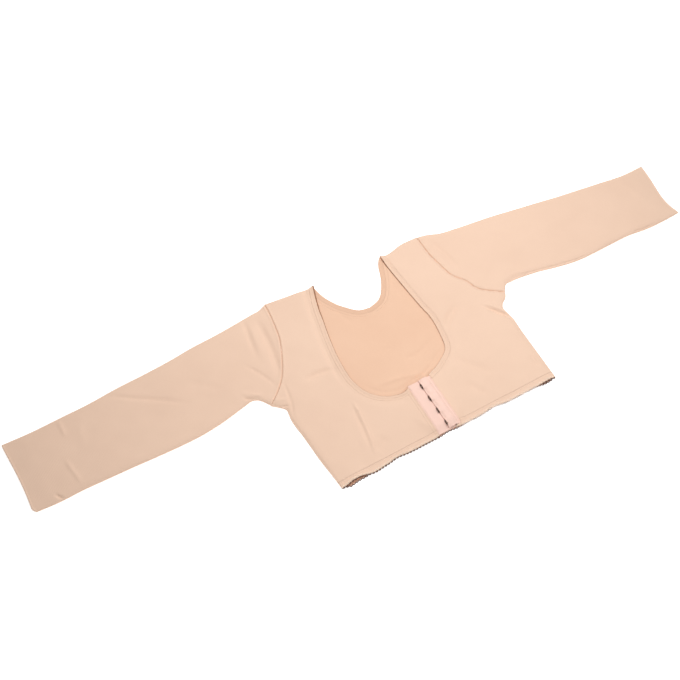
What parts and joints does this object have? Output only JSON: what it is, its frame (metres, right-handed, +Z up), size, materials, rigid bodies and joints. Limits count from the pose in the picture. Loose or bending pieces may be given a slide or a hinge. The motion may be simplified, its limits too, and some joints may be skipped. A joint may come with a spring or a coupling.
{
  "type": "long-sleeved compression top",
  "caption": "Cropped long-sleeved compression top lying flat, with a scooped neck, set-in sleeves, a picot hem and a hook-and-eye front.",
  "frame": {"origin": "on the surface it lies on, below the middle of the garment laid flat", "axes": "+X across the garment towards the wearer's left cuff, +Y from hem to neck, +Z up off the surface"},
  "size_m": [1.115, 0.3186, 0.0124],
  "materials": {
    "knit": "matte firm knit, beige",
    "knit_inside": "matte firm knit, warmer on its inner face",
    "binding": "twin-stitched knit binding",
    "edging": "elastic with picot loops",
    "tape": "soft brushed tape, pinkish",
    "hook_metal": "dark plated wire"
  },
  "bodies": {
    "root": {"back_panel": "knit_inside", "front_panel_right": "knit", "front_panel_left": "knit", "sleeve_right": "knit", "sleeve_left": "knit", "neck_binding_back": "binding", "neck_binding_right": "binding", "neck_binding_left": "binding", "hem_edging_back": "edging", "hem_edging_right": "edging", "hem_edging_left": "edging", "eye_tape": "tape", "hook_tape": "tape", "hook_1": "hook_metal", "hook_2": "hook_metal", "hook_3": "hook_metal", "hook_4": "hook_metal", "eye_1": "hook_metal", "eye_2": "hook_metal", "eye_3": "hook_metal", "eye_4": "hook_metal"}
  },
  "joints": []
}
